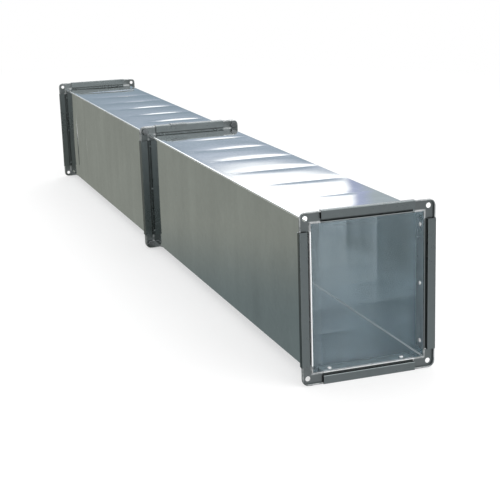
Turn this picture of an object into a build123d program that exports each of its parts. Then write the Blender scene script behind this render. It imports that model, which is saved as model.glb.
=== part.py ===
from build123d import *
from math import asin, degrees, sqrt
import os

os.makedirs("parts", exist_ok=True)

# Duct: X is across, Y runs along the airway, Z is up. Sizes in millimetres.
duct_width = 200.0          # clear inside width
duct_height = 250.0         # clear inside height
section_length = 1000.0     # one section, mating face to mating face
sheet = 0.55                # wall sheet
fold_radius = 1.5           # middle of the sheet at the plain folded corner
layer_gap = 0.05            # between layers that lie on each other
turn_share = 0.98           # share of the room that the radius of a full turn takes

# Lock seam along two opposite corners
lock_depth = 9.0            # pocket, measured in from the corner
lock_lip = 5.0              # lip hammered over the other half
lock_hem_gap = 0.15         # left open inside the closed fold
lock_bottom_gap = 1.5       # male edge to the bottom of the pocket
lock_bend = 0.6             # middle of the sheet where the male edge turns

# Stiffening beads pressed outwards across every wall
bead_count = 6
bead_first = 184.0          # from the front mating face of the section
bead_pitch = 134.0
bead_width = 10.0
bead_height = 0.6
bead_end_run = 7.0          # length over which the end of a bead fades
bead_fold_margin = 5.0      # bead end to the folded corner
bead_seam_margin = 13.0     # bead end to the seamed corner

# Slide-on flange rail, rolled from one strip
flange_height = 20.0        # outwards from the airway
rail_sheet = 0.8
rail_depth = 9.5            # mating face to the back of the channel
rail_groove = 5.4           # middle of the strip under the flat face
rail_step = 7.0             # how far the groove is set back
rail_lip_end = 4.2          # free edge of the back lip
rail_throat = 2.5           # fold that closes round the cut edge of the wall
rail_inner_leg = 30.0       # inside the airway, riveted
rail_outer_leg = 8.7        # outside the wall, folded back under the channel
rail_hem_gap = 0.3
rail_bend = 1.2
rail_step_bend = 0.6
rail_setback_wide = 18.0    # rail end to the airway corner, top and bottom
rail_setback_tall = 13.0    # the same, at the two sides
wall_end_gap = 0.3          # cut edge of the wall to the fold of the throat

# Corner piece pushed into two rails
corner_plate = 1.2
corner_depth = 6.0          # back of the plate, behind the mating face
corner_rim_front = 1.2      # front of the rim, behind the mating face
corner_rim = 2.6            # rim width at the outer edge
corner_rim_round = 1.0
corner_lip = 2.4            # lip width at the inner edge
corner_lip_front = 3.0      # front of that lip, behind the mating face
corner_lip_round = 0.6
corner_margin = 0.8         # outer edge, short of the rail
corner_radius = 12.0
corner_back_round = 2.0
corner_tongue = 25.0        # length inside the rail
corner_gap = 0.1            # tongue in the channel
corner_end_gap = 0.5        # shoulder to the end of the rail
bolt_inset = 12.0           # hole centre from the outer edge of the flange
bolt_hole = 9.0

# Blind rivets through rail and wall
rivet_shank = 4.0
rivet_head = 7.0
rivet_head_height = 1.3
rivet_bulb = 5.6
rivet_bulb_height = 1.8
rivet_clearance = 0.1
rivet_back = 17.0           # from the mating face
rivet_margin_wide = 35.0    # outermost rivet to the airway corner, top and bottom
rivet_margin_tall = 25.0    # the same, at the two sides

# Bolts, nuts and the clip of the middle joint
bolt_shank = 8.0
bolt_across_flats = 13.0
bolt_head_height = 5.3
bolt_length = 20.0
nut_height = 6.5
nut_clearance = 0.1
clip_length = 37.0
clip_offset = -27.0         # middle of the clip, along the top rails
clip_plate = 1.2
clip_lip = 6.0
clip_bend = 1.2

# Worked out from the sizes above
half_width = duct_width / 2
half_height = duct_height / 2
axis_height = half_height + flange_height
bead_places = [bead_first + bead_pitch * n for n in range(bead_count)]
wall_start = rail_throat + rail_sheet / 2 + wall_end_gap
leg_inside = -layer_gap - rail_sheet
wall_notch = corner_depth + wall_end_gap
channel_low = rail_groove + rail_sheet / 2
channel_high = flange_height - rail_sheet
bolt_out = flange_height - bolt_inset


def bent_sheet(points, radii, thickness):
    """Face of a folded sheet whose middle line runs through the points."""
    return trace(FilletPolyline(*points, radius=radii), line_width=thickness)


def bead_body(length, radius, sink):
    """Round-backed ridge along X that fades at both ends, rising from Z = 0 and sunk below it."""
    foot = sqrt(radius**2 - (radius - bead_height - sink) ** 2)
    arc = ThreePointArc((-foot, -sink), (0, bead_height), (foot, -sink))
    section = make_face([arc, Line(arc @ 1, arc @ 0)])
    bar = extrude(Plane.YZ * section, length, both=True)
    slope = bead_end_run / bead_height
    top = bead_height + sink
    low = length / 2 + sink * slope
    high = length / 2 - top * slope
    side = make_face(Polyline((-low, -sink), (low, -sink), (high, top), (-high, top), close=True))
    return bar & extrude(Plane.XZ * side, bead_width, both=True)


def press_beads(wall, turn, out, half_length, seam_end):
    """Press the row of beads into one side; seam_end tells at which end of X its seam lies."""
    length = 2 * half_length - bead_seam_margin - bead_fold_margin
    middle = seam_end * (bead_fold_margin - bead_seam_margin) / 2
    outer_radius = (bead_width**2 / 4 + bead_height**2) / (2 * bead_height)
    ridge = Pos(middle, 0, out + sheet) * bead_body(length, outer_radius, sheet / 2)
    groove = Pos(middle, 0, out) * bead_body(length, outer_radius - sheet, sheet)
    spots = [Pos(0, place, 0) * Rot(0, turn, 0) for place in bead_places]
    wall = wall + [spot * ridge for spot in spots]
    return wall - [spot * groove for spot in spots]


def rivet_spots(turn, out, half_length):
    """Where the rivets of a rail are: three on a tall side, two on a wide one."""
    places = [half_length - rivet_margin_wide]
    if half_length == half_height:
        places = [0, half_length - rivet_margin_tall]
    row = sorted({sign * place for place in places for sign in (-1, 1)})
    return [Rot(0, turn, 0) * Pos(place, rivet_back, out) for place in row]


def rivet_holes(*side):
    """Drills for the rivets of one rail of the flange at Y = 0."""
    drill = Cylinder(rivet_shank / 2 + rivet_clearance, 8 * rail_sheet)
    return [spot * drill for spot in rivet_spots(*side)]


def corner_notches():
    """Cuts that take the wall back behind the corner pieces, at both ends of a section."""
    cut = Box(2 * rail_setback_wide, 2 * wall_notch, 2 * rail_setback_tall)
    ends = (0, section_length)
    seams = ((-1, 1), (1, 1), (1, -1))
    return [Pos(x * half_width, end, z * half_height) * cut for end in ends for x, z in seams]


def wall_half():
    """Top and right wall of a section in one folded sheet, with a lock pocket and a male edge."""
    pocket_low = half_height + 1.5 * sheet + lock_hem_gap
    pocket_high = pocket_low + 2 * sheet + 2 * layer_gap
    male = pocket_low + sheet + layer_gap
    right = half_width + sheet / 2
    top = half_height + sheet / 2
    fold = half_width - layer_gap - sheet / 2
    lip = half_width + 1.5 * sheet + layer_gap
    bottom = half_width - lock_depth
    points = [
        (bottom + lock_bottom_gap, -male),
        (right, -male),
        (right, top),
        (-fold, top),
        (-fold, pocket_low),
        (-bottom, pocket_low),
        (-bottom, pocket_high),
        (-lip, pocket_high),
        (-lip, pocket_high - lock_lip),
    ]
    hem = turn_share * (pocket_low - top) / 2
    mouth = turn_share * (pocket_high - pocket_low) / 2
    lip_bend = lock_bend + sheet + layer_gap
    radii = [lock_bend, fold_radius, hem, hem, mouth, mouth, lip_bend]
    section = Plane.XZ * bent_sheet(points, radii, sheet)
    wall = Pos(0, section_length - wall_start, 0) * extrude(section, section_length - 2 * wall_start)
    wall = press_beads(wall, 0, half_height, half_width, -1)
    wall = press_beads(wall, 90, half_width, half_height, 1)
    front = rivet_holes(0, half_height, half_width) + rivet_holes(90, half_width, half_height)
    rear = [Pos(0, section_length - 2 * rivet_back, 0) * hole for hole in front]
    return wall - front - rear - corner_notches()


def rail(turn, out, half_length, setback):
    """Flange rail of one side, rolled from one strip: two legs, groove, face, top and back lip."""
    inner = leg_inside + rail_sheet / 2
    outer = sheet + layer_gap + rail_sheet / 2
    upper = outer + rail_sheet + rail_hem_gap
    face = rail_sheet / 2
    crest = flange_height - rail_sheet / 2
    back = rail_depth - rail_sheet / 2
    points = [
        (rail_inner_leg, inner),
        (rail_throat, inner),
        (rail_throat, outer),
        (rail_outer_leg, outer),
        (rail_outer_leg, upper),
        (rail_step, upper),
        (rail_step, rail_groove),
        (face, rail_groove),
        (face, crest),
        (back, crest),
        (back, rail_lip_end),
    ]
    throat = turn_share * (outer - inner) / 2
    hem = turn_share * (upper - outer) / 2
    radii = [throat, throat, hem, hem, rail_step_bend, rail_step_bend, rail_bend, rail_bend, rail_bend]
    section = Plane.YZ * bent_sheet(points, radii, rail_sheet)
    strip = extrude(section, half_length - setback, both=True)
    return Rot(0, turn, 0) * Pos(0, 0, out) * strip - rivet_holes(turn, out, half_length)


def rivets(*side):
    """Set rivets of one rail: round head in the airway, shank, and bulb outside the wall."""
    head = rivet_head / 2
    cap = (head**2 + rivet_head_height**2) / (2 * rivet_head_height)
    crown = leg_inside - rivet_head_height
    dome = CenterArc((0, crown + cap), cap, -90, degrees(asin(head / cap)))
    tail = sheet + rivet_bulb_height
    edge = Polyline(
        dome @ 1,
        (rivet_shank / 2, leg_inside),
        (rivet_shank / 2, sheet),
        (rivet_bulb / 2, sheet),
        (rivet_shank / 2, tail),
        (0, tail),
        dome @ 0,
    )
    body = revolve(Plane.XZ * make_face([dome, edge]), Axis.Z)
    return [spot * body for spot in rivet_spots(*side)]


def corner():
    """Pressed corner piece of the top right, measured from the airway corner of the flange at Y = 0."""
    outer = flange_height - corner_margin
    wide = rail_setback_wide - corner_end_gap
    tall = rail_setback_tall - corner_end_gap
    inner = leg_inside
    outline = [(outer, outer), (-wide, outer), (-wide, inner), (inner, inner), (inner, -tall), (outer, -tall)]
    plate = make_face(FilletPolyline(*outline, radius=[corner_radius, 0, 0, 0, 0, 0], close=True))
    body = Pos(0, corner_depth, 0) * extrude(Plane.XZ * plate, corner_depth - corner_rim_front)
    back = body.edges().filter_by_position(Axis.Y, corner_depth, corner_depth)
    rim_edges = [edge for edge in back if max(edge.center().X, edge.center().Z) > outer - corner_radius / 2]
    body = fillet(rim_edges, corner_back_round)
    # Dish inside the rim, first down to the inner lip and then beside it down to the plate
    dish = outer - corner_rim
    far = -2 * (wide + corner_tongue)
    square = [(dish, dish), (far, dish), (far, far), (dish, far)]
    region = make_face(FilletPolyline(*square, radius=[corner_radius - corner_rim, 0, 0, 0], close=True))
    lip = inner + corner_lip
    keep = make_face(Polyline((lip, lip), (far, lip), (far, far), (lip, far), close=True))
    floor = corner_depth - corner_plate
    body = body - Pos(0, corner_lip_front, 0) * extrude(Plane.XZ * region, corner_lip_front)
    body = body - Pos(0, floor, 0) * extrude(Plane.XZ * (region - keep), floor)
    for front, size, width in (
        (corner_rim_front, corner_rim_round, corner_rim),
        (corner_lip_front, corner_lip_round, corner_lip),
    ):
        rim = body.edges().filter_by_position(Axis.Y, front - layer_gap, front + layer_gap)
        body = fillet([edge for edge in rim if edge.length > 2 * width], size)
    # Tongues that slide into the two rails
    width = channel_high - channel_low - 2 * corner_gap
    middle = (channel_high + channel_low) / 2
    deep = corner_depth - corner_plate / 2
    long = corner_tongue + corner_plate
    body = body + Pos(-wide - long / 2 + corner_plate, deep, middle) * Box(long, corner_plate, width)
    body = body + Pos(middle, deep, -tall - long / 2 + corner_plate) * Box(width, corner_plate, long)
    return body - Pos(bolt_out, deep, bolt_out) * Rot(90, 0, 0) * Cylinder(bolt_hole / 2, 2 * corner_depth)


def hexagon(height):
    """Hexagon prism along Y from Y = 0."""
    return extrude(Plane.XZ * RegularPolygon(bolt_across_flats / 2, 6, major_radius=False), -height)


def bolt():
    """Hexagon bolt along Y with its seat at Y = 0."""
    shank = Pos(0, bolt_length / 2, 0) * Rot(90, 0, 0) * Cylinder(bolt_shank / 2, bolt_length)
    return Pos(0, -bolt_head_height, 0) * hexagon(bolt_head_height) + shank


def nut():
    """Nut along Y with its seat at Y = 0."""
    return hexagon(nut_height) - Rot(90, 0, 0) * Cylinder(bolt_shank / 2 + nut_clearance, 4 * nut_height)


def clip():
    """Clip that grips the two top rails of the joint at Y = 0."""
    side = rail_depth + layer_gap + clip_plate / 2
    top = half_height + flange_height + layer_gap + clip_plate / 2
    points = [(-side, top - clip_lip), (-side, top), (side, top), (side, top - clip_lip)]
    section = Plane.YZ * bent_sheet(points, [clip_bend, clip_bend], clip_plate)
    return Pos(clip_offset, 0, 0) * extrude(section, clip_length / 2, both=True)


# Sides of a flange seen from its mating face: turn, distance out, half length, rail setback
sides = {
    "top": (0, half_height, half_width, rail_setback_wide),
    "right": (90, half_width, half_height, rail_setback_tall),
    "bottom": (180, half_height, half_width, rail_setback_wide),
    "left": (270, half_width, half_height, rail_setback_tall),
}
base_corner = corner()
corners = {
    "top_right": Pos(half_width, 0, half_height) * base_corner,
    "top_left": Pos(-half_width, 0, half_height) * mirror(base_corner, about=Plane.YZ),
    "bottom_right": Pos(half_width, 0, -half_height) * mirror(base_corner, about=Plane.XY),
    "bottom_left": Pos(-half_width, 0, -half_height) * Rot(0, 180, 0) * base_corner,
}
rails = {name: rail(*side) for name, side in sides.items()}
flange_rivets = [one for turn, out, half, setback in sides.values() for one in rivets(turn, out, half)]
half_shell = wall_half()
other_hand = {"left": "right", "right": "left", "top": "top", "bottom": "bottom"}

# Put the two sections one behind the other, the joint in the middle of the length
pieces = {}
for section_name, start, end_names in (
    ("near", -section_length, ("end", "joint")),
    ("far", 0.0, ("joint", "end")),
):
    front = Pos(0, start, axis_height)
    back = front * Pos(0, section_length, 0) * Rot(0, 0, 180)
    pieces[f"{section_name}_wall_top_right"] = front * half_shell
    pieces[f"{section_name}_wall_bottom_left"] = front * Rot(0, 180, 0) * half_shell
    for end_name, seat in zip(end_names, (front, back)):
        flange = f"{section_name}_{end_name}"
        for name, body in rails.items():
            side = other_hand[name] if seat is back else name
            pieces[f"{flange}_rail_{side}"] = seat * body
        for name, body in corners.items():
            level, hand = name.split("_")
            side = other_hand[hand] if seat is back else hand
            pieces[f"{flange}_corner_{level}_{side}"] = seat * body
        pieces[f"{flange}_rivets"] = Compound([seat * body for body in flange_rivets])

# Fasteners of the joint
joint = Pos(0, 0, axis_height)
bolt_x = half_width + bolt_out
bolt_z = half_height + bolt_out
bolt_spots = [(x, z) for x in (-bolt_x, bolt_x) for z in (-bolt_z, bolt_z)]
pieces["joint_bolts"] = Compound([joint * Pos(x, -corner_depth, z) * bolt() for x, z in bolt_spots])
pieces["joint_nuts"] = Compound([joint * Pos(x, corner_depth, z) * nut() for x, z in bolt_spots])
pieces["joint_clip"] = joint * clip()

for name, body in pieces.items():
    export_step(body, f"parts/{name}.step")
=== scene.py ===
"""Finish of a flanged rectangular air duct: beaded sheet walls, rolled rails, pressed corners."""

import math
import random

import bpy
from bpy.props import FloatProperty, FloatVectorProperty, IntProperty, PointerProperty
from mathutils import Matrix, Vector


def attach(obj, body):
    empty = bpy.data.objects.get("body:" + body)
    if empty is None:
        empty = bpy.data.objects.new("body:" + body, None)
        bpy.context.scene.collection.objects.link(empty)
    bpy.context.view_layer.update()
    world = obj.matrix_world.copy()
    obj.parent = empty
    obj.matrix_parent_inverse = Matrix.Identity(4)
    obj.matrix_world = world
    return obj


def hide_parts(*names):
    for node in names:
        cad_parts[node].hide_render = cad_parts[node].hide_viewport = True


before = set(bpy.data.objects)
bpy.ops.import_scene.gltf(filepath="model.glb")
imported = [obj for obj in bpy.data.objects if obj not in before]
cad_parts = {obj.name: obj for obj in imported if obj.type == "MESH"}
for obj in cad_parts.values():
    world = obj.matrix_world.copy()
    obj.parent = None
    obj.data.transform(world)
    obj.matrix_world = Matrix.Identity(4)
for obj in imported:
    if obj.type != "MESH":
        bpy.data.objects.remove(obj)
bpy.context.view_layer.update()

bl_info = {
    "name": "Rectangular duct finish",
    "version": (1, 0, 0),
    "blender": (4, 5, 0),
    "location": "3D View > Sidebar > Duct",
    "description": "Builds the sheet walls, fasteners, finishes and stage of a rectangular air duct",
    "category": "Object",
}

BODY = "root"
SECTIONS = ("near", "far")
MM = 0.001

# Zinc: spread of its tone, and the share of each pattern in tone, sheen and relief.
TONE_SPREAD = 0.2
CRYSTAL_SHARE = 0.1
STREAK_TONE = 0.12
STREAK_SHEEN = 0.3
STREAK_RELIEF = 0.03
CLOUD_SHEEN = 0.5

# Mesh of the wall sheets: run between points, points in a bend, on a bead and along a bay.
MESH_RUN = 6 * MM
BEND_STEPS = 6
BEND_MARGIN = 0.2 * MM
BEAD_STEPS = 6
BAY_STEPS = 24
ON_FACE = 1e-7
FACING = 0.99
SHEET_CREASE = math.radians(40)
FASTENER_CREASE = math.radians(35)

# Bowed bays: spread, lean, squareness along the duct, and what brings the peak across to 1.
BOW_SPREAD = 0.2
BOW_LEAN = 0.35
PILLOW_POWER = 4
PILLOW_PEAK = 6.75

# Rounding of the seam's hem and mouth, as a share of their room.
HEM_ROUNDING = 0.49
MOUTH_ROUNDING = 0.2

# Half the width over which the rails' painted highlight changes from side to side.
MIDDLE = 10 * MM

# Bounds over which a painted layer fades, out from the airway or back from the mating face: the leg's
# painted light, the groove's painted shade and the painted highlights of throat, lip and rim.
LEG_OUT, LEG_BACK = (0.0, 0.3 * MM), (4.0 * MM, 5.0 * MM)
GROOVE_IN, GROOVE_OUT, GROOVE_BACK = (1.6 * MM, 2.0 * MM), (4.8 * MM, 5.2 * MM), (3.0 * MM, 5.0 * MM)
THROAT_OUT = (1.5 * MM, 2.1 * MM)
LIP_OUT, RIM_OUT = (2.2 * MM, 3.0 * MM), (16.6 * MM, 17.0 * MM)

# Fasteners: sides of round shapes, chamfers, and the rivet's dimple.
ROUND_SIDES = 24
SHANK_SIDES = 16
DIMPLE_SHARE = 0.14
DIMPLE_DEPTH = 0.3 * MM
TAIL_CHAMFER = 0.9 * MM
HEXAGON_CHAMFER = 0.7 * MM
SHANK_CHAMFER = 0.8 * MM
THREAD_RUNOUT = 1.2 * MM
THREAD_RIDGE = 0.3
THREAD_CORE = 0.35

# Stage: height of the cards on the floor, and place of the card behind the duct.
CARD_LIFT = 0.0003
BACK_CARD = 30.0


def length(name, description, default_mm):
    """Length property whose default is given in millimetres."""
    default = default_mm * MM
    return FloatProperty(name=name, description=description, default=default, unit="LENGTH", precision=5)


def colour(name, description, default):
    """Colour property with three channels."""
    channels = {"subtype": "COLOR", "size": 3, "min": 0, "max": 1}
    return FloatVectorProperty(name=name, description=description, default=default, **channels)


def strength(name, description, default):
    """Strength of a light tone, which may be brighter than white."""
    return FloatProperty(name=name, description=description, default=default, min=0)


class DuctSizes(bpy.types.PropertyGroup):
    """Sizes of the sheet walls and the fasteners."""

    width: length("Width", "Clear width of the airway", 200)
    height: length("Height", "Clear height of the airway", 250)
    section: length("Section", "Length of one section between its mating faces", 1000)
    sheet: length("Sheet", "Thickness of the wall sheet", 0.55)
    flange: length("Flange", "Height of the flange outside the airway", 20)
    wall_start: length("Wall start", "Cut edge of the wall behind the mating face", 3.2)
    fold: length("Fold", "Radius of the plain folded corner", 1.5)
    gap: length("Layer gap", "Gap between layers that lie on each other", 0.05)
    lock_depth: length("Lock depth", "Depth of the seam pocket", 9)
    lock_lip: length("Lock lip", "Lip hammered over the other half", 5)
    lock_hem: length("Lock hem", "Gap inside the closed fold of the seam", 0.15)
    lock_male: length("Lock gap", "Gap between the male edge and the bottom of the pocket", 1.5)
    lock_bend: length("Lock bend", "Radius of the male edge", 0.6)
    bead_first: length("First bead", "First stiffening bead behind the front mating face", 184)
    bead_pitch: length("Bead pitch", "Distance between stiffening beads", 134)
    bead_width: length("Bead width", "Width of a stiffening bead with its soft feet", 12)
    bead_height: length("Bead height", "Height of a stiffening bead", 0.04)
    bead_run: length("Bead end", "Length over which the end of a bead fades", 9)
    bead_fold: length("Bead to fold", "End of a bead to the folded corner", 5)
    bead_seam: length("Bead to seam", "End of a bead to the seamed corner", 13)
    bead_count: IntProperty(name="Beads", description="Beads on each wall of a section", default=6, min=1)
    leg: length("Leg zone", "Part of the wall that the rail legs keep flat", 32)
    notch: length("Notch", "Cut edge of the wall behind a corner piece", 6.3)
    setback_wide: length("Setback across", "Length of a corner piece along the top and bottom", 18)
    setback_tall: length("Setback upright", "Length of a corner piece along the sides", 13)
    bow: length("Bow", "How far the near section's sheet bows out between two beads", 0.7)
    bow_far: length("Bow, far", "How far the far section's sheet bows out between two beads", 1.0)
    seam_highlight_width: length("Sealing line", "Width of the pale line of sealant in a seamed corner", 2.8)
    rivet_back: length("Rivet back", "Rivets behind the mating face", 17)
    # The pale line in a seamed corner is a painted highlight along its fold.
    rivet_wide: length("Rivet margin across", "Rivets of top and bottom from the corner of the airway", 35)
    rivet_tall: length("Rivet margin upright", "Rivets of the sides from the corner of the airway", 25)
    rivet_head: length("Rivet head", "Diameter of a rivet head", 7)
    rivet_rise: length("Rivet rise", "Height of a rivet head", 1.3)
    rivet_shank: length("Rivet shank", "Diameter of a rivet shank", 4)
    rivet_tail: length("Rivet tail", "Diameter of the set end of a rivet", 5.6)
    rivet_tail_rise: length("Rivet tail rise", "Height of the set end of a rivet", 1.8)
    leg_inside: length("Leg inside", "How far a rail leg stands into the airway", 0.85)
    bolt_inset: length("Bolt inset", "Bolts from the outer edges of the flange", 12)
    bolt_seat: length("Bolt seat", "Seat of head and nut from the joint face", 6)
    bolt_shank: length("Bolt", "Diameter of a joint bolt", 8)
    bolt_flats: length("Across flats", "Bolt head and nut across flats", 13)
    bolt_head: length("Head height", "Height of a bolt head", 5.3)
    bolt_length: length("Bolt length", "Shank below the head", 20)
    nut_height: length("Nut height", "Height of a nut", 6.5)
    thread_pitch: length("Thread pitch", "Pitch of the bolt thread", 1.25)


class DuctFinish(bpy.types.PropertyGroup):
    """Colours of the finishes, and of the painted light, shade and highlights laid over them."""

    sheet_colour: colour("Sheet", "Bright zinc of the wall sheet", (0.77, 0.805, 0.815))
    # Lighter tone for the faces that look into the airway, as painted light that brightens the inside.
    inside_light_colour: colour("Inside", "Clean zinc inside the airway", (0.855, 0.89, 0.905))
    # Darker tone over the floor of the airway.
    floor_dark_colour: colour("Dust", "Thin dust on the floor of the airway", (0.33, 0.36, 0.38))
    # Pale painted highlight along the fold in the seamed corners.
    seam_highlight_colour: colour("Sealant", "Pale line in the seamed corners", (0.97, 0.98, 0.98))
    rail_colour: colour("Rail", "Dull zinc of the rolled rails", (0.164, 0.185, 0.188))
    # Painted shade at the bottom of the rail grooves.
    groove_shade_colour: colour("Groove", "Dirt at the bottom of the rail grooves", (0.085, 0.095, 0.095))
    # Painted highlights on the front throats of the rails and on the corners' lips and rims.
    highlight_colour: colour("Bright edge", "Rubbed zinc of throats, legs and lips", (0.93, 0.94, 0.94))
    corner_colour: colour("Corner", "Dull zinc of the pressed corners", (0.162, 0.178, 0.18))
    rivet_colour: colour("Rivet", "Bright metal of the rivets", (0.97, 0.97, 0.97))
    fastener_colour: colour("Fastener", "Plated bolts and nuts", (0.17, 0.18, 0.185))
    clip_colour: colour("Clip", "Zinc of the clip", (0.15, 0.167, 0.17))


class DuctStage(bpy.types.PropertyGroup):
    """Tones of the floor and of the cards that the zinc mirrors, and the lens."""

    floor_colour: colour("Floor", "Pale floor", (0.97, 0.97, 0.97))
    ground_warm: colour(
        "Ground card, far", "Warm grey that the sides mirror far from the front", (0.262, 0.272, 0.24)
    )
    # Near the duct's front this grey stands for the duct's shadow on the ground: a painted shadow that the
    # sides mirror.
    ground_cool: colour(
        "Ground card, near", "Cool grey that the sides mirror low at the front", (0.15, 0.179, 0.179)
    )
    sky_low: colour("Back card, low", "Blue grey that the far end of the top mirrors", (0.28, 0.35, 0.41))
    sky_high: colour("Back card, high", "Light blue that the middle of the top mirrors", (0.48, 0.54, 0.64))
    sky_side: colour("Back card, side", "Grey that the right front of the top mirrors", (0.44, 0.49, 0.52))
    sky_edge: colour("Back card, edge", "Lavender between white and the grey side", (0.42, 0.46, 0.63))
    sky_glow: strength("Back card, white", "White that the near end of the top mirrors", 1.45)
    sky_crest: strength("Back card, top", "Light that falls in through the far end", 2.6)
    ground_front: colour("Ground card, front", "Grey that the front faces mirror", (0.72, 0.74, 0.75))
    focal: FloatProperty(name="Focal length", description="Lens of the camera", default=86.9, unit="CAMERA")


class Value:
    """A socket of a node tree; arithmetic on it adds Math nodes."""

    def __init__(self, tree, socket):
        self.tree = tree
        self.socket = socket

    def maths(self, operation, first, second):
        return self.tree.add("ShaderNodeMath", {"operation": operation}, {0: first, 1: second})

    def __add__(self, other):
        return self.maths("ADD", self, other)

    def __radd__(self, other):
        return self.maths("ADD", other, self)

    def __sub__(self, other):
        return self.maths("SUBTRACT", self, other)

    def __rsub__(self, other):
        return self.maths("SUBTRACT", other, self)

    def __mul__(self, other):
        return self.maths("MULTIPLY", self, other)

    def __rmul__(self, other):
        return self.maths("MULTIPLY", other, self)

    def __pow__(self, other):
        return self.maths("POWER", self, other)

    def __truediv__(self, other):
        return self.maths("DIVIDE", self, other)

    def __rtruediv__(self, other):
        return self.maths("DIVIDE", other, self)

    def __neg__(self):
        return self.maths("MULTIPLY", self, -1.0)

    def __abs__(self):
        return self.maths("ABSOLUTE", self, 0.0)


class Tree:
    """Node tree that takes nodes, their settings and their inputs in one call."""

    def __init__(self, group):
        self.nodes = group.nodes
        self.links = group.links
        self.nodes.clear()

    def add(self, kind, settings=None, inputs=None, output=0):
        """New node of a kind: settings first, then values or links, and the wanted output."""
        node = self.nodes.new(kind)
        for name, value in (settings or {}).items():
            if name == "stops":
                self.set_stops(node.color_ramp, value)
            else:
                setattr(node, name, value)
        for name, value in (inputs or {}).items():
            if isinstance(value, Value):
                self.links.new(value.socket, node.inputs[name])
            else:
                node.inputs[name].default_value = value
        return Value(self, node.outputs[output]) if len(node.outputs) else node

    @staticmethod
    def set_stops(ramp, stops):
        """Stops of a ramp as pairs of position and grey."""
        while len(ramp.elements) < len(stops):
            ramp.elements.new(1)
        for element, (place, tone) in zip(ramp.elements, stops):
            element.position = place
            element.color = (tone, tone, tone, 1)

    def ramp(self, value, stops):
        """Grey value read from a ramp."""
        return self.add("ShaderNodeValToRGB", {"stops": stops}, {"Fac": value})

    def mix(self, share, first, second):
        """Blend of two colours."""
        inputs = {"Factor": share, 6: first, 7: second}
        return self.add("ShaderNodeMix", {"data_type": "RGBA"}, inputs, 2)

    def noise(self, place, scale, detail=2.0, roughness=0.5):
        inputs = {"Vector": place, "Scale": scale, "Detail": detail, "Roughness": roughness}
        return self.add("ShaderNodeTexNoise", None, inputs)

    def place(self, stretch=(1, 1, 1)):
        """Object coordinates, stretched along the axes."""
        coordinates = self.add("ShaderNodeTexCoord", None, None, "Object")
        return self.add("ShaderNodeMapping", None, {"Vector": coordinates, "Scale": stretch})

    def axes(self, place):
        """The three parts of a place."""
        first = self.add("ShaderNodeSeparateXYZ", None, {"Vector": place})
        return first, *(Value(self, first.socket.node.outputs[n]) for n in (1, 2))

    def step(self, value, low, high):
        """Smooth step from 0 at one value to 1 at another."""
        inputs = {"Value": value, "From Min": low, "From Max": high}
        return self.add("ShaderNodeMapRange", {"interpolation_type": "SMOOTHSTEP"}, inputs)

    def output(self, shader, kind="ShaderNodeOutputMaterial"):
        self.add(kind, None, {"Surface": shader})


def new_material(name):
    """Empty node material and its tree."""
    material = bpy.data.materials.new(name)
    material.use_nodes = True
    return material, Tree(material.node_tree)


def inside_face(tree):
    """1 on the faces of a wall that look into the airway."""
    return tree.add("ShaderNodeAttribute", {"attribute_name": "inside"}, None, "Fac")


def zinc(name, tone, rough, spangle_mm, grain, clouding, ripple_mm=0.08, layers=(), rough_inside=None):
    """Galvanised metal: crystals of the zinc, rolling grain along one axis, clouding and layers over it.

    A layer is a colour, its metallic share and the function that makes its mask.
    """
    material, tree = new_material(name)
    plain = tree.place()
    cells = tree.add(
        "ShaderNodeTexVoronoi",
        {"feature": "F1"},
        {"Vector": plain, "Scale": 1 / (spangle_mm * MM), "Randomness": 1.0},
        "Color",
    )
    crystal = tree.add("ShaderNodeSeparateColor", None, {"Color": cells}) - 0.5
    cloud = tree.noise(plain, scale=7.0, detail=4.0, roughness=0.6) - 0.5
    streak = tree.noise(tree.place(grain), scale=1.0, detail=3.0, roughness=0.7) - 0.5
    ripple = tree.noise(plain, scale=14.0, detail=1.0, roughness=0.4)
    bands = tree.noise(tree.place((1.2, 10, 1.2)), scale=1.0, detail=2.0, roughness=0.6) - 0.5
    level = crystal * CRYSTAL_SHARE + cloud * clouding + bands * clouding + streak * STREAK_TONE + 0.5
    dark = tuple(channel * (1 - TONE_SPREAD) for channel in tone)
    light = tuple(min(1.0, channel * (1 + TONE_SPREAD)) for channel in tone)
    base = tree.mix(level, (*dark, 1), (*light, 1))
    metal = 1.0
    for shade, metallic, mask in layers:
        share = mask(tree, plain)
        base = tree.mix(share, base, (*shade, 1))
        metal = metal + share * (metallic - metal)
    if rough_inside:
        rough = inside_face(tree) * (rough_inside - rough) + rough
    sheen = (crystal * CRYSTAL_SHARE + cloud * CLOUD_SHEEN + streak * STREAK_SHEEN + 1.0) * rough
    relief = {"Strength": 1.0, "Distance": ripple_mm * MM, "Height": ripple + streak * STREAK_RELIEF}
    bump = tree.add("ShaderNodeBump", None, relief)
    shader = tree.add(
        "ShaderNodeBsdfPrincipled",
        None,
        {"Base Color": base, "Roughness": sheen, "Normal": bump, "Metallic": metal},
    )
    tree.output(shader)
    return material


def paint(node, material):
    """Give a CAD node its finish."""
    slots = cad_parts[node].data.materials
    slots.clear()
    slots.append(material)


def nodes_with(word):
    """Names of the CAD nodes that hold a word."""
    return sorted(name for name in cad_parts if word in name)


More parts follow.
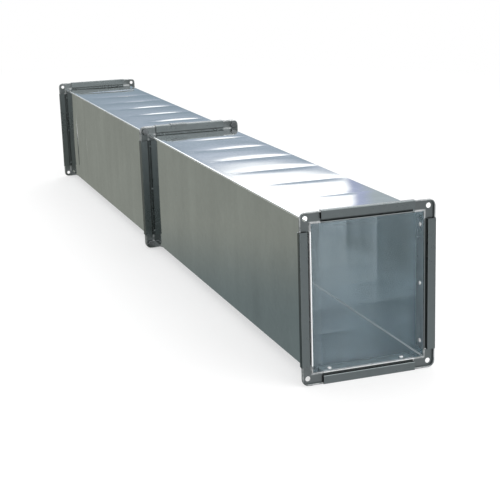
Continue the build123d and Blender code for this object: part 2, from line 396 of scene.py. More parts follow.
def folded_path(corners, radii, run):
    """Points along a folded line in its plane, each with the side that looks outwards."""
    samples = []
    here = Vector(corners[0])
    turns = list(zip(corners[1:-1], radii)) + [(corners[-1], 0)]
    for index, (corner, radius) in enumerate(turns):
        corner = Vector(corner)
        ahead = (corner - here).normalized()
        last = index == len(turns) - 1
        if last:
            leave = corner
        else:
            after = (Vector(corners[index + 2]) - corner).normalized()
            reach = radius * math.tan(ahead.angle(after) / 2)
            leave = corner - ahead * reach
        span = (leave - here).length
        steps = max(1, math.ceil(span / run))
        margin = min(BEND_MARGIN, span / 4) / span if span else 0
        shares = sorted([n / steps for n in range(steps)] + [margin, 1 - margin])
        samples += [(here.lerp(leave, share), ahead) for share in shares]
        if last:
            samples.append((leave, ahead))
            break
        arrive = corner + after * reach
        turn_sign = 1 if ahead.x * after.y - ahead.y * after.x > 0 else -1
        centre = leave + Vector((-ahead.y, ahead.x)) * radius * turn_sign
        angle = ahead.angle(after) * turn_sign
        for n in range(BEND_STEPS):
            turn = Matrix.Rotation(angle * n / BEND_STEPS, 2)
            samples.append((centre + turn @ (leave - centre), turn @ ahead))
        here = arrive
    return [(point, Vector((along.y, -along.x))) for point, along in samples]


def ease(value):
    """Smooth rise from 0 to 1."""
    value = min(1.0, max(0.0, value))
    return value * value * (3 - 2 * value)


def half_shell_corners(sizes):
    """Corners and radii of the folded half shell in the plane across the duct, from its axis."""
    wide, tall, sheet, gap = sizes.width / 2, sizes.height / 2, sizes.sheet, sizes.gap
    pocket_low = tall + 1.5 * sheet + sizes.lock_hem
    pocket_high = pocket_low + 2 * sheet + 2 * gap
    male = pocket_low + sheet + gap
    right, top = wide + sheet / 2, tall + sheet / 2
    fold = wide - gap - sheet / 2
    lip = wide + 1.5 * sheet + gap
    bottom = wide - sizes.lock_depth
    corners = [
        (bottom + sizes.lock_male, -male),
        (right, -male),
        (right, top),
        (-fold, top),
        (-fold, pocket_low),
        (-bottom, pocket_low),
        (-bottom, pocket_high),
        (-lip, pocket_high),
        (-lip, pocket_high - sizes.lock_lip),
    ]
    hem = HEM_ROUNDING * (pocket_low - top)
    mouth = MOUTH_ROUNDING * (pocket_high - pocket_low)
    radii = [sizes.lock_bend, sizes.fold, hem, hem, mouth, mouth, sizes.lock_bend + sheet + gap]
    return corners, radii


class WallRelief:
    """Height of the beads and of the bowed sheet between them, over one flat side of a wall."""

    def __init__(self, sizes, bow, seed):
        self.sizes = sizes
        draw = random.Random(seed)
        self.beads = [sizes.bead_first + sizes.bead_pitch * n for n in range(sizes.bead_count)]
        self.bays = [sizes.leg, *self.beads, sizes.section - sizes.leg]
        self.bows = [bow * draw.uniform(1 - BOW_SPREAD, 1 + BOW_SPREAD) for bay in self.bays[1:]]
        self.leans = [draw.uniform(-BOW_LEAN, BOW_LEAN) for bay in self.bays[1:]]

    def rise(self, along, from_seam, from_fold):
        """Outward shift of the sheet at a place along the duct and between the two corners."""
        sizes = self.sizes
        near_seam = ease((from_seam - sizes.bead_seam) / sizes.bead_run)
        near_fold = ease((from_fold - sizes.bead_fold) / sizes.bead_run)
        shift = 0.0
        for bead in self.beads:
            off = abs(along - bead) / (sizes.bead_width / 2)
            if off < 1:
                shift += sizes.bead_height * 0.5 * (1 + math.cos(math.pi * off)) * near_seam * near_fold
        across = from_seam / (from_seam + from_fold)
        belly = PILLOW_PEAK * across * across * (1 - across)
        last = len(self.bows) - 1
        for index, (start, stop) in enumerate(zip(self.bays, self.bays[1:])):
            if start < along < stop:
                share = (along - start) / (stop - start)
                pillow = 1 - abs(2 * share - 1) ** PILLOW_POWER
                if index in (0, last):
                    pillow *= ease(2 * (share if index == 0 else 1 - share))
                skew = 1 + self.leans[index] * (2 * across - 1)
                shift += self.bows[index] * skew * pillow * belly
        return shift

    def stations(self):
        """Places along the duct where the mesh has a row of points."""
        sizes = self.sizes
        end = sizes.section
        places = [sizes.wall_start, sizes.leg, end - sizes.leg, end - sizes.wall_start]
        half = sizes.bead_width / 2
        for bead in self.beads:
            places += [bead + half * n / BEAD_STEPS for n in range(-BEAD_STEPS, BEAD_STEPS + 1)]
        for start, stop in zip(self.bays, self.bays[1:]):
            turns = [math.pi * n / BAY_STEPS for n in range(1, BAY_STEPS)]
            places += [start + (stop - start) * (1 - math.cos(turn)) / 2 for turn in turns]
        return sorted(set(places))


def wall_mesh(name, sizes, bow, start, turned, seed):
    """Closed sheet of one half shell, with seam, beads and bow, put in its place."""
    corners, radii = half_shell_corners(sizes)
    samples = folded_path(corners, radii, MESH_RUN)
    reliefs = {"top": WallRelief(sizes, bow, seed), "right": WallRelief(sizes, bow, seed + 1)}
    stations = reliefs["top"].stations()
    wide, tall, half = sizes.width / 2, sizes.height / 2, sizes.sheet / 2
    axis = Vector((0, start, tall + sizes.flange))
    turn = Matrix.Rotation(math.pi if turned else 0, 3, "Y")
    layers = {1: [], -1: []}
    for along in stations:
        for point, out in samples:
            shift = 0.0
            if abs(point.y - (tall + half)) < ON_FACE and out.y > FACING:
                shift = reliefs["top"].rise(along, point.x + wide, wide - point.x)
            elif abs(point.x - (wide + half)) < ON_FACE and out.x > FACING:
                shift = reliefs["right"].rise(along, point.y + tall, tall - point.y)
            run = along
            if abs(point.x) > wide - sizes.setback_wide and abs(point.y) > tall - sizes.setback_tall:
                run = min(max(along, sizes.notch), sizes.section - sizes.notch)
            for side, layer in layers.items():
                spot = point + out * (shift + side * half)
                layer.append(axis + turn @ Vector((spot.x, run, spot.y)))
    vertices = layers[1] + layers[-1]
    row, rows, under = len(samples), len(stations), len(layers[1])
    faces = []
    for j in range(rows - 1):
        for i in range(row - 1):
            a = j * row + i
            quad = (a, a + 1, a + row + 1, a + row)
            faces.append(quad)
            faces.append(tuple(under + n for n in reversed(quad)))
        for a in (j * row, j * row + row - 1):
            edge = (a, a + row, under + a + row, under + a)
            faces.append(edge if a == j * row else edge[::-1])
    for i in range(row - 1):
        for a in (i, (rows - 1) * row + i):
            edge = (a, under + a, under + a + 1, a + 1)
            faces.append(edge if a == i else edge[::-1])
    mesh = bpy.data.meshes.new(name)
    mesh.from_pydata(vertices, [], faces)
    inside = mesh.attributes.new("inside", "FLOAT", "POINT")
    inside.data.foreach_set("value", [0.0] * under + [1.0] * under)
    mesh.validate()
    mesh.shade_smooth()
    mesh.set_sharp_from_angle(angle=SHEET_CREASE)
    return mesh


def add_piece(name, mesh, material, slot, *stands_for):
    """New piece of the duct, riding on its body and standing for CAD nodes."""
    piece = bpy.data.objects.new(name, mesh)
    bpy.context.scene.collection.objects.link(piece)
    if material:
        mesh.materials.append(material)
    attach(piece, BODY)
    if stands_for:
        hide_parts(*stands_for)


class DUCT_OT_walls(bpy.types.Operator):
    """Make the four folded wall sheets with their seams, beads and bowed bays"""

    bl_idname = "duct.walls"
    bl_label = "Walls"

    def execute(self, context):
        sizes, finish = context.scene.duct_sizes, context.scene.duct_finish
        layers = [
            # The inner faces take the lighter tone as painted light.
            (finish.inside_light_colour, 1.0, lambda tree, place: inside_face(tree) * 0.85),
            # The floor of the airway takes a darker tone.
            (finish.floor_dark_colour, 0.9, self.darker_floor),
            # Painted highlight along the fold of the seamed corners.
            (finish.seam_highlight_colour, 0.65, self.seam_highlight),
        ]
        pattern = {"spangle_mm": 9, "grain": (4, 150, 4), "clouding": 0.8, "ripple_mm": 0.03}
        gloss = {"rough": 0.06, "rough_inside": 0.12}
        material = zinc("sheet_zinc", finish.sheet_colour, layers=layers, **gloss, **pattern)
        for index, section in enumerate(SECTIONS):
            start = (index - 1) * sizes.section
            bow = sizes.bow_far if index else sizes.bow
            for turned, half in enumerate(("top_right", "bottom_left")):
                node = f"{section}_wall_{half}"
                seed = 10 * index + 4 * turned + 3
                mesh = wall_mesh(f"{node}_sheet", sizes, bow, start, turned, seed)
                add_piece(f"{node}_sheet", mesh, material, "galvanised_sheet", node)
        return {"FINISHED"}

    @staticmethod
    def darker_floor(tree, place):
        """Darker tone over the floor of the airway."""
        sizes = bpy.context.scene.duct_sizes
        z = tree.axes(place)[2]
        return (1.0 - tree.step(z, sizes.flange + 0.8 * MM, sizes.flange + 1.2 * MM)) * 0.8

    @staticmethod
    def seam_highlight(tree, place):
        """Painted highlight along the fold inside the two seamed corners."""
        sizes = bpy.context.scene.duct_sizes
        wide, tall = sizes.width / 2, sizes.height / 2
        x, y, z = tree.axes(place)
        up = z - (tall + sizes.flange)
        side = tree.step(abs(x), wide - sizes.seam_highlight_width, wide - sizes.seam_highlight_width + 0.3 * MM)
        inside = 1.0 - tree.step(abs(up), tall + 0.4 * MM, tall + 0.6 * MM)
        level = tree.step(abs(up), tall - 1.0 * MM, tall - 0.7 * MM)
        seam = tree.step(x * up * -1.0, 0.0, 0.001)
        return side * inside * level * seam


def mating_depth(along):
    """Distance of a place along the duct from the nearest mating face."""
    half = bpy.context.scene.duct_sizes.section / 2
    return half - abs(abs(along) - half)


class DUCT_OT_rails(bpy.types.Operator):
    """Finish the rolled flange rails"""

    bl_idname = "duct.rails"
    bl_label = "Rails"

    def execute(self, context):
        finish = context.scene.duct_finish
        tall = self.rail_zinc("rail_tall", finish, self.beside, (160, 160, 4))
        wide = self.rail_zinc("rail_wide", finish, self.above, (4, 160, 160))
        for node in nodes_with("_rail_"):
            paint(node, wide if node.endswith(("top", "bottom")) else tall)
        return {"FINISHED"}

    def rail_zinc(self, name, finish, measure, grain):
        """Dull zinc with painted light on the leg, painted shade in the groove and a painted highlight on
        the throat.
        """

        def on_rail(mask):
            return lambda tree, place: mask(tree, *measure(tree, place))

        layers = [
            # The leg inside the airway takes the sheet's bright tone as painted light.
            (finish.sheet_colour, 1.0, on_rail(self.leg)),
            # Painted shade at the bottom of the groove.
            (finish.groove_shade_colour, 0.8, on_rail(self.groove)),
            # Painted highlight on the throat, strongest on the left and bottom rails.
            (finish.highlight_colour, 0.1, on_rail(self.throat)),
        ]
        pattern = {"rough": 0.3, "spangle_mm": 6, "grain": grain, "clouding": 0.2, "ripple_mm": 0.02}
        return zinc(name, finish.rail_colour, layers=layers, **pattern)

    @staticmethod
    def beside(tree, place):
        """Distance out from the airway, place along it and share of painted highlight of a side rail, most
        on the left.
        """
        x, y, z = tree.axes(place)
        highlight_share = 1.0 - tree.step(x, -MIDDLE, MIDDLE) * 0.92
        return abs(x) - bpy.context.scene.duct_sizes.width / 2, y, highlight_share

    @staticmethod
    def above(tree, place):
        """The same for a rail over or under the airway, most painted highlight below."""
        sizes = bpy.context.scene.duct_sizes
        x, y, z = tree.axes(place)
        up = z - (sizes.height / 2 + sizes.flange)
        highlight_share = 0.5 - tree.step(up, -MIDDLE, MIDDLE) * 0.46
        return abs(up) - sizes.height / 2, y, highlight_share

    @staticmethod
    def leg(tree, off, along, highlight_share):
        """Leg inside the airway behind the throat, given the sheet's bright tone as painted light."""
        return (1.0 - tree.step(off, *LEG_OUT)) * tree.step(mating_depth(along), *LEG_BACK)

    @staticmethod
    def groove(tree, off, along, highlight_share):
        """Groove between throat and face, with painted shade at its bottom."""
        outer = 1.0 - tree.step(off, *GROOVE_OUT)
        return tree.step(off, *GROOVE_IN) * outer * tree.step(mating_depth(along), *GROOVE_BACK)

    @staticmethod
    def throat(tree, off, along, highlight_share):
        """Painted white highlight on the throat at the open front end."""
        end = bpy.context.scene.duct_sizes.section
        front = 1.0 - tree.step(along, 7 * MM - end, 8 * MM - end)
        return (1.0 - tree.step(off, *THROAT_OUT)) * front * highlight_share


class DUCT_OT_corners(bpy.types.Operator):
    """Finish the pressed corner pieces"""

    bl_idname = "duct.corners"
    bl_label = "Corners"

    def execute(self, context):
        finish = context.scene.duct_finish
        # Painted highlights on the lips and rims of the corner pieces.
        layers = [(finish.highlight_colour, 0.2, self.lip)]
        pattern = {"rough": 0.34, "spangle_mm": 5, "grain": (40, 40, 40), "clouding": 0.5}
        material = zinc("corner_zinc", finish.corner_colour, layers=layers, **pattern)
        for node in nodes_with("_corner_"):
            paint(node, material)
        return {"FINISHED"}

    @staticmethod
    def lip(tree, place):
        """Painted highlight on the inner lip of a corner piece, round the corner of the airway, and on its
        outer rim, broken into patches by noise.
        """
        sizes = bpy.context.scene.duct_sizes
        x, y, z = tree.axes(place)
        beyond_side = abs(x) - sizes.width / 2
        beyond_top = abs(z - (sizes.height / 2 + sizes.flange)) - sizes.height / 2
        inner = tree.add("ShaderNodeMath", {"operation": "MAXIMUM"}, {0: beyond_side, 1: beyond_top})
        highlight_patches = tree.step(tree.noise(place, 160.0, 2.0), 0.3, 0.6)
        lip = 1.0 - tree.step(inner, *LIP_OUT)
        lip *= tree.step(beyond_side, -sizes.setback_wide - 0.2 * MM, 0.2 * MM - sizes.setback_wide)
        lip *= tree.step(beyond_top, -sizes.setback_tall - 0.2 * MM, 0.2 * MM - sizes.setback_tall)
        rim = tree.step(inner, *RIM_OUT)
        return (lip * 0.4 + rim * 0.3) * (highlight_patches * 0.7 + 0.3)


def node_group(name, inputs):
    """Geometry node group with named inputs and its tree; geometry goes in and out."""
    group = bpy.data.node_groups.new(name, "GeometryNodeTree")
    group.interface.new_socket("Geometry", in_out="INPUT", socket_type="NodeSocketGeometry")
    for label, kind in inputs.items():
        group.interface.new_socket(label, in_out="INPUT", socket_type=f"NodeSocket{kind}")
    group.interface.new_socket("Geometry", in_out="OUTPUT", socket_type="NodeSocketGeometry")
    return group, Tree(group)


class Parts:
    """Shapes that the geometry node groups are put together from."""

    def __init__(self, tree):
        self.tree = tree

    def value(self, name):
        return self.tree.add("NodeGroupInput", None, None, name)

    def vector(self, x=0.0, y=0.0, z=0.0):
        return self.tree.add("ShaderNodeCombineXYZ", None, {"X": x, "Y": y, "Z": z})

    def moved(self, shape, up):
        inputs = {"Geometry": shape, "Translation": self.vector(z=up)}
        return self.tree.add("GeometryNodeTransform", None, inputs)

    def flipped(self, shape):
        """Shape turned upside down."""
        inputs = {"Geometry": shape, "Rotation": (math.pi, 0, 0)}
        return self.tree.add("GeometryNodeTransform", None, inputs)

    def disc(self, sides, radius):
        """Filled polygon in the plane Z = 0 that looks up."""
        inputs = {"Vertices": sides, "Radius": radius}
        return self.tree.add("GeometryNodeMeshCircle", {"fill_type": "NGON"}, inputs)

    def block(self, sides, radius, height, chamfer, shrink=0.88):
        """Closed prism from Z = 0 upwards whose upper rim is chamfered."""
        tree = self.tree
        disc = self.disc(sides, radius)
        under = tree.add("GeometryNodeFlipFaces", None, {"Mesh": disc})
        wall = {"Mesh": disc, "Offset Scale": height - chamfer}
        body = tree.add("GeometryNodeExtrudeMesh", {"mode": "FACES"}, wall)
        top = Value(tree, body.socket.node.outputs["Top"])
        rim = {"Mesh": body, "Selection": top, "Offset Scale": chamfer}
        body = tree.add("GeometryNodeExtrudeMesh", {"mode": "FACES"}, rim)
        top = Value(tree, body.socket.node.outputs["Top"])
        drawn_in = {"Geometry": body, "Selection": top, "Scale": shrink}
        body = tree.add("GeometryNodeScaleElements", None, drawn_in)
        return self.welded(self.joined(body, under))

    def hexagon(self, height):
        """Chamfered hexagon as wide across its flats as the group's input says."""
        return self.block(6, self.value("Flats") / math.sqrt(3), height, HEXAGON_CHAMFER)

    def joined(self, *shapes):
        join = self.tree.add("GeometryNodeJoinGeometry")
        for shape in shapes:
            self.tree.links.new(shape.socket, join.socket.node.inputs[0])
        return join

    def welded(self, shape):
        return self.tree.add("GeometryNodeMergeByDistance", None, {"Geometry": shape, "Distance": 1e-6})

    def painted(self, shape, material="Material"):
        """Shape with the material that an input of the group names."""
        inputs = {"Geometry": shape, "Material": self.value(material)}
        return self.tree.add("GeometryNodeSetMaterial", None, inputs)

    def spread(self, shape):
        """Copies of a shape on the points, turned along their direction, as plain mesh."""
        tree = self.tree
        vector = {"data_type": "FLOAT_VECTOR"}
        heading = tree.add("GeometryNodeInputNamedAttribute", vector, {"Name": "heading"}, "Attribute")
        turn = tree.add("FunctionNodeAlignRotationToVector", {"axis": "Z"}, {"Vector": heading})
        inputs = {"Points": self.value("Geometry"), "Instance": shape, "Rotation": turn}
        copies = tree.add("GeometryNodeInstanceOnPoints", None, inputs)
        plain = tree.add("GeometryNodeRealizeInstances", None, {"Geometry": copies})
        tree.add("NodeGroupOutput", None, {0: plain})


def rivet_group():
    """Blind rivet along Z: low dome with a dimple over the seat, shank and set end under it."""
    sizes = dict.fromkeys(("Head", "Rise", "Shank", "Stack", "Tail", "Tail rise"), "Float")
    finishes = dict.fromkeys(("Material", "Tail material"), "Material")
    group, tree = node_group("blind_rivet", {**sizes, **finishes})
    parts = Parts(tree)
    head, shank, stack = parts.value("Head"), parts.value("Shank"), parts.value("Stack")
    ball = tree.add("GeometryNodeMeshUVSphere", None, {"Segments": ROUND_SIDES, "Rings": 14, "Radius": 1.0})
    size = parts.vector(head / 2, head / 2, parts.value("Rise"))
    dome = tree.add("GeometryNodeTransform", None, {"Geometry": ball, "Scale": size})
    place = tree.add("GeometryNodeInputPosition")
    x, y, z = tree.axes(place)
    below = tree.add("FunctionNodeCompare", {"operation": "LESS_THAN"}, {0: z, 1: 0.0})
    lower = {"Geometry": dome, "Selection": below}
    dome = tree.add("GeometryNodeDeleteGeometry", {"domain": "FACE"}, lower)
    off = (x * x + y * y) ** 0.5
    inner = tree.add("FunctionNodeCompare", {"operation": "LESS_THAN"}, {0: off, 1: head * DIMPLE_SHARE})
    dent = {"Geometry": dome, "Selection": inner, "Offset": parts.vector(z=-DIMPLE_DEPTH)}
    dome = tree.add("GeometryNodeSetPosition", None, dent)
    under = tree.add("GeometryNodeFlipFaces", None, {"Mesh": parts.disc(ROUND_SIDES, head / 2)})
    cap = parts.welded(parts.joined(dome, under))
    round_bar = {"Vertices": SHANK_SIDES, "Radius": shank / 2, "Depth": stack}
    rod = parts.moved(tree.add("GeometryNodeMeshCylinder", None, round_bar), -stack / 2)
    tail, rise = parts.value("Tail"), parts.value("Tail rise")
    lump = parts.block(SHANK_SIDES, tail / 2, rise, TAIL_CHAMFER, 0.75)
    lump = parts.moved(parts.flipped(lump), -stack)
    bright = parts.painted(parts.joined(cap, rod))
    parts.spread(parts.joined(bright, parts.painted(lump, "Tail material")))
    return group


def bolt_group():
    """Hexagon bolt along Z: chamfered head under the seat, threaded shank over it."""
    sizes = dict.fromkeys(("Flats", "Head", "Shank", "Length", "Pitch"), "Float")
    group, tree = node_group("hexagon_bolt", {**sizes, "Material": "Material"})
    parts = Parts(tree)
    shank, length, pitch = parts.value("Shank"), parts.value("Length"), parts.value("Pitch")
    head = parts.flipped(parts.hexagon(parts.value("Head")))
    core = parts.block(ROUND_SIDES, shank / 2 - pitch * THREAD_CORE, length, SHANK_CHAMFER, 0.8)
    turns = (length - THREAD_RUNOUT) / pitch
    radius = shank / 2 - pitch * THREAD_RIDGE
    helix = {"Resolution": 20, "Rotations": turns, "Start Radius": radius, "End Radius": radius}
    line = tree.add("GeometryNodeCurveSpiral", None, {**helix, "Height": length - THREAD_RUNOUT})
    square = {"Resolution": 4, "Radius": pitch * THREAD_RIDGE}
    ridge = tree.add("GeometryNodeCurvePrimitiveCircle", None, square)
    swept = {"Curve": line, "Profile Curve": ridge, "Fill Caps": True}
    thread = tree.add("GeometryNodeCurveToMesh", None, swept)
    parts.spread(parts.painted(parts.joined(head, core, thread)))
    return group


def nut_group():
    """Hexagon nut along Z, chamfered at both faces."""
    group, tree = node_group("hexagon_nut", {"Flats": "Float", "Height": "Float", "Material": "Material"})
    parts = Parts(tree)
    half = parts.value("Height") / 2
    upper = parts.hexagon(half)
    lower = parts.flipped(upper)
    parts.spread(parts.painted(parts.joined(parts.moved(upper, half), parts.moved(lower, half))))
    return group


def spread_mesh(name, group, spots, values):
    """Plain mesh of a node group's shape on spots, each a place and the way its shape points."""
    seeds = bpy.data.meshes.new(name)
    seeds.from_pydata([place for place, heading in spots], [], [])
    headings = [part for place, heading in spots for part in heading]
    seeds.attributes.new("heading", "FLOAT_VECTOR", "POINT").data.foreach_set("vector", headings)
    holder = bpy.data.objects.new(name, seeds)
    bpy.context.scene.collection.objects.link(holder)
    modifier = holder.modifiers.new(group.name, "NODES")
    modifier.node_group = group
    for item in group.interface.items_tree:
        if item.in_out == "INPUT" and item.name in values:
            modifier[item.identifier] = values[item.name]
    depsgraph = bpy.context.evaluated_depsgraph_get()
    mesh = bpy.data.meshes.new_from_object(holder.evaluated_get(depsgraph))
    bpy.data.objects.remove(holder)
    bpy.data.meshes.remove(seeds)
    mesh.shade_smooth()
    mesh.set_sharp_from_angle(angle=FASTENER_CREASE)
    return mesh


class DUCT_OT_rivets(bpy.types.Operator):
    """Make the blind rivets of the four flanges"""

    bl_idname = "duct.rivets"
    bl_label = "Rivets"

    def execute(self, context):
        sizes, finish = context.scene.duct_sizes, context.scene.duct_finish
        white = [(finish.rivet_colour, 0.15, lambda tree, place: tree.noise(place, 400.0) * 0.2 + 0.8)]
        pattern = {"spangle_mm": 2, "grain": (300, 300, 300), "clouding": 0.2}
        material = zinc("rivet_metal", finish.rivet_colour, rough=0.4, layers=white, **pattern)
        dull = zinc("rivet_tail", finish.rail_colour, rough=0.5, **pattern)
        values = {
            "Head": sizes.rivet_head,
            "Rise": sizes.rivet_rise,
            "Shank": sizes.rivet_shank,
            "Stack": sizes.leg_inside + sizes.sheet,
            "Tail": sizes.rivet_tail,
            "Tail rise": sizes.rivet_tail_rise,
            "Material": material,
            "Tail material": dull,
        }
        group = rivet_group()
        flanges = {
            "near_end": -sizes.section + sizes.rivet_back,
            "near_joint": -sizes.rivet_back,
            "far_joint": sizes.rivet_back,
            "far_end": sizes.section - sizes.rivet_back,
        }
        for flange, along in flanges.items():
            mesh = spread_mesh(f"{flange}_rivet_set", group, self.spots(sizes, along), values)
            add_piece(f"{flange}_rivet_set", mesh, None, "rivet", f"{flange}_rivets")
        return {"FINISHED"}

    @staticmethod
    def spots(sizes, along):
        """Seats of the rivets round one flange, each with the way into the airway."""
        wide, tall = sizes.width / 2, sizes.height / 2
        axis = tall + sizes.flange
        deep, high = wide - sizes.leg_inside, tall - sizes.leg_inside
        beside = wide - sizes.rivet_wide
        upright = tall - sizes.rivet_tall
        spots = []
        for side in (-1, 1):
            spots += [((x, along, axis + side * high), (0, 0, -side)) for x in (-beside, beside)]
            spots += [((side * deep, along, axis + z), (-side, 0, 0)) for z in (-upright, 0, upright)]
        return spots


class DUCT_OT_fasteners(bpy.types.Operator):
    """Make the joint bolts and nuts and finish the clip"""

    bl_idname = "duct.fasteners"
    bl_label = "Bolts, nuts and clip"

    def execute(self, context):
        sizes, finish = context.scene.duct_sizes, context.scene.duct_finish
        pattern = {"rough": 0.3, "spangle_mm": 3, "grain": (300, 300, 300), "clouding": 0.3}
        plated = zinc("plated_fastener", finish.fastener_colour, **pattern)
        bolt = {
            "Flats": sizes.bolt_flats,
            "Head": sizes.bolt_head,
            "Shank": sizes.bolt_shank,
            "Length": sizes.bolt_length,
            "Pitch": sizes.thread_pitch,
            "Material": plated,
        }
        nut = {"Flats": sizes.bolt_flats, "Height": sizes.nut_height, "Material": plated}
        for name, group, values, seat in (
            ("joint_bolt", bolt_group(), bolt, -sizes.bolt_seat),
            ("joint_nut", nut_group(), nut, sizes.bolt_seat),
        ):
            mesh = spread_mesh(f"{name}_set", group, self.spots(sizes, seat), values)
            add_piece(f"{name}_set", mesh, None, "zinc_fastener", f"{name}s")
        pattern = {"rough": 0.28, "spangle_mm": 6, "grain": (4, 160, 160), "clouding": 0.3}
        paint("joint_clip", zinc("clip_zinc", finish.clip_colour, **pattern))
        return {"FINISHED"}

    @staticmethod
    def spots(sizes, seat):
        """Corners of the bolt pattern at a seat, all pointing along the airway."""
        across = sizes.width / 2 + sizes.flange - sizes.bolt_inset
        up = sizes.height / 2 + sizes.flange - sizes.bolt_inset
        axis = sizes.height / 2 + sizes.flange
        return [((x * across, seat, axis + z * up), (0, 1, 0)) for x in (-1, 1) for z in (-1, 1)]


def softbox(name, place, target, width, height, power):
    """Area light that looks at a target."""
    light = bpy.data.lights.new(name, "AREA")
    light.shape = "RECTANGLE"
    light.size, light.size_y = width, height
    light.energy = power
    lamp = bpy.data.objects.new(name, light)
    lamp.location = place
    lamp.rotation_euler = (Vector(target) - Vector(place)).to_track_quat("-Z", "Y").to_euler()
    lamp.visible_camera = False
    bpy.context.scene.collection.objects.link(lamp)


def stage_sheet(name, corners, material):
    """Flat sheet of the stage."""
    mesh = bpy.data.meshes.new(name)
    mesh.from_pydata(corners, [], [tuple(range(len(corners)))])
    mesh.materials.append(material)
    sheet = bpy.data.objects.new(name, mesh)
    bpy.context.scene.collection.objects.link(sheet)
    return sheet


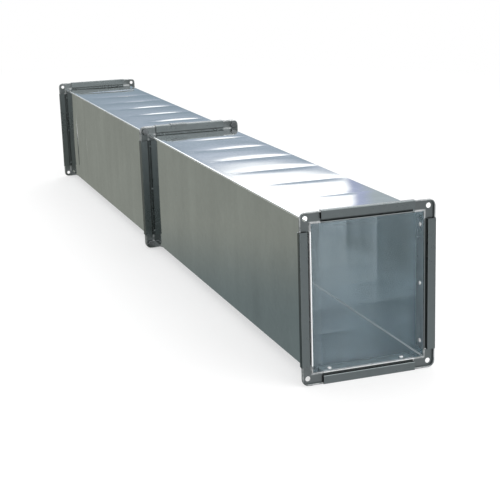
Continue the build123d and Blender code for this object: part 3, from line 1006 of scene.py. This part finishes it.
class DUCT_OT_stage(bpy.types.Operator):
    """Set up the pale floor, the soft light and the camera"""

    bl_idname = "duct.stage"
    bl_label = "Stage"

    def execute(self, context):
        scene, stage = context.scene, context.scene.duct_stage
        scene.view_settings.view_transform = "Standard"
        scene.cycles.glossy_bounces = 16
        scene.cycles.max_bounces = 16
        self.make_world(scene)
        self.make_floor(stage)
        self.make_ground_cards(stage)
        self.make_back_card(stage)
        softbox("back_softbox", (3.0, 6.0, 5.0), (0, 0, 0.2), 4.0, 3.0, 160)
        softbox("front_softbox", (1.5, -3.5, 2.6), (0, -1, 0.2), 3.0, 2.0, 56)
        self.make_camera(scene, stage)
        return {"FINISHED"}

    @staticmethod
    def make_world(scene):
        world = bpy.data.worlds.new("white_room")
        scene.world = world
        world.use_nodes = True
        tree = Tree(world.node_tree)
        surface = tree.add("ShaderNodeBackground", None, {"Color": (1, 1, 1, 1), "Strength": 1.0})
        tree.output(surface, "ShaderNodeOutputWorld")

    @staticmethod
    def make_floor(stage):
        material, tree = new_material("pale_floor")
        path = tree.add("ShaderNodeLightPath", None, None, "Is Camera Ray")
        others = path.socket.node.outputs
        seen = path + Value(tree, others["Is Glossy Ray"]) + Value(tree, others["Is Transmission Ray"])
        place = tree.place((1, 0.7, 1))
        away = tree.add("ShaderNodeVectorMath", {"operation": "LENGTH"}, {0: place}, "Value")
        fade = tree.ramp(away * 0.2, [(0.1, 0.5), (0.6, 1.0)])
        matt = tree.add("ShaderNodeBsdfDiffuse", None, {"Color": (*stage.floor_colour, 1)})
        white = tree.add("ShaderNodeEmission", None, {"Color": (1, 1, 1, 1), "Strength": 1.0})
        tree.output(tree.add("ShaderNodeMixShader", None, {0: fade * seen, 1: matt, 2: white}))
        reach = 60
        square = [(-reach, -reach, 0), (reach, -reach, 0), (reach, reach, 0), (-reach, reach, 0)]
        stage_sheet("floor", square, material)

    @staticmethod
    def mirrored_only(card):
        """Card that only reflections see."""
        card.visible_camera = False
        card.visible_diffuse = False
        card.visible_shadow = False

    def make_ground_cards(self, stage):
        """Grey cards on the floor beside the duct, darker and cooler towards its front as a painted shadow
        of the duct, and a pale one before it.
        """
        material, tree = new_material("ground_card")
        x, y, z = tree.axes(tree.place())
        # Cooler and darker near the duct's front: the duct's painted shadow on the ground.
        depth = y + (abs(x) - 0.17) * 1.2
        tone = tree.mix(tree.step(depth, -0.65, 0.4), (*stage.ground_cool, 1), (*stage.ground_warm, 1))
        tree.output(tree.add("ShaderNodeEmission", None, {"Color": tone, "Strength": 1.0}))
        left = [(-2.5, -3.2), (-1.7, -3.2), (-0.095, -0.99), (-0.095, 1.0), (-0.7, 4.5), (-2.5, 4.5)]
        right = [(0.095, -0.99), (2.5, -0.99), (2.5, 3.2), (1.5, 3.2), (0.095, 1.0)]
        for name, corners in {"left_ground_card": left, "right_ground_card": right}.items():
            self.mirrored_only(stage_sheet(name, [(x, y, CARD_LIFT) for x, y in corners], material))
        material, tree = new_material("front_card")
        x, y, z = tree.axes(tree.place())
        aside = x - 0.095 + (y + 0.99) * 0.6
        tone = tree.mix(tree.step(aside, 0.06, 0.28), (*stage.ground_front, 1), (*stage.ground_cool, 1))
        tree.output(tree.add("ShaderNodeEmission", None, {"Color": tone, "Strength": 1.0}))
        front = [(-0.1, -3.2), (2.5, -3.2), (2.5, -0.99), (-0.1, -0.99)]
        self.mirrored_only(stage_sheet("front_card", [(x, y, CARD_LIFT) for x, y in front], material))

    def make_back_card(self, stage):
        """Card far behind the duct, from blue grey at its foot to white at its top, grey at its right."""
        material, tree = new_material("back_card")
        across, along, height = tree.axes(tree.place())
        tone = tree.mix(tree.step(height, 3.4, 6.0), (*stage.sky_low, 1), (*stage.sky_high, 1))
        band = tree.step(height, 5.1, 5.4) * (1.0 - tree.step(height, 5.6, 5.9))
        tone = tree.mix(band * 0.8, tone, (*stage.sky_low, 1))
        for white, low, high in ((stage.sky_glow, 6.3, 6.6), (stage.sky_crest, 8.9, 9.8)):
            tone = tree.mix(tree.step(height, low, high), tone, (white, white, white, 1))
        tone = tree.mix(tree.step(across, 13.6, 14.0), tone, (*stage.sky_edge, 1))
        tone = tree.mix(tree.step(across, 14.0, 14.7), tone, (*stage.sky_side, 1))
        tree.output(tree.add("ShaderNodeEmission", None, {"Color": tone, "Strength": 1.0}))
        corners = [(-18, 0), (30, 0), (30, 14), (-18, 14)]
        self.mirrored_only(stage_sheet("back_card", [(x, BACK_CARD, z) for x, z in corners], material))

    @staticmethod
    def make_camera(scene, stage):
        """Camera from its turn and shift against the middle of the front flange."""
        camera = bpy.data.cameras.new("camera")
        camera.sensor_width = 36
        camera.lens = stage.focal
        camera.clip_end = 200
        holder = bpy.data.objects.new("camera", camera)
        scene.collection.objects.link(holder)
        turn = Vector((0.2464, -0.3332, -0.0733))
        rotation = Matrix.Rotation(turn.length, 3, turn)
        rows = rotation @ Matrix(((1, 0, 0), (0, 0, -1), (0, 1, 0)))
        shift = Vector((0.1919, 0.0683, 1.9549))
        axes = Matrix((rows[0], -rows[1], -rows[2])).transposed()
        front = Vector((0, -0.996, 0.145))
        place = front - rows.transposed() @ shift
        holder.matrix_world = Matrix.Translation(place) @ axes.to_4x4()
        scene.camera = holder


class DUCT_PT_panel(bpy.types.Panel):
    """Lists the steps that dress the duct"""

    bl_label = "Rectangular duct"
    bl_space_type = "VIEW_3D"
    bl_region_type = "UI"
    bl_category = "Duct"

    def draw(self, context):
        for step in STEPS:
            self.layout.operator(step.bl_idname)


STEPS = (DUCT_OT_walls, DUCT_OT_rails, DUCT_OT_corners, DUCT_OT_rivets, DUCT_OT_fasteners, DUCT_OT_stage)
GROUPS = {"duct_sizes": DuctSizes, "duct_finish": DuctFinish, "duct_stage": DuctStage}


def register():
    for entry in (*GROUPS.values(), *STEPS, DUCT_PT_panel):
        bpy.utils.register_class(entry)
    for name, group in GROUPS.items():
        setattr(bpy.types.Scene, name, PointerProperty(type=group))


def unregister():
    for name in GROUPS:
        delattr(bpy.types.Scene, name)
    for entry in (DUCT_PT_panel, *reversed(STEPS), *reversed(GROUPS.values())):
        bpy.utils.unregister_class(entry)


def main():
    """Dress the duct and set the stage."""
    register()
    for step in STEPS:
        group, name = step.bl_idname.split(".")
        getattr(getattr(bpy.ops, group), name)()


if __name__ == "__main__":
    main()
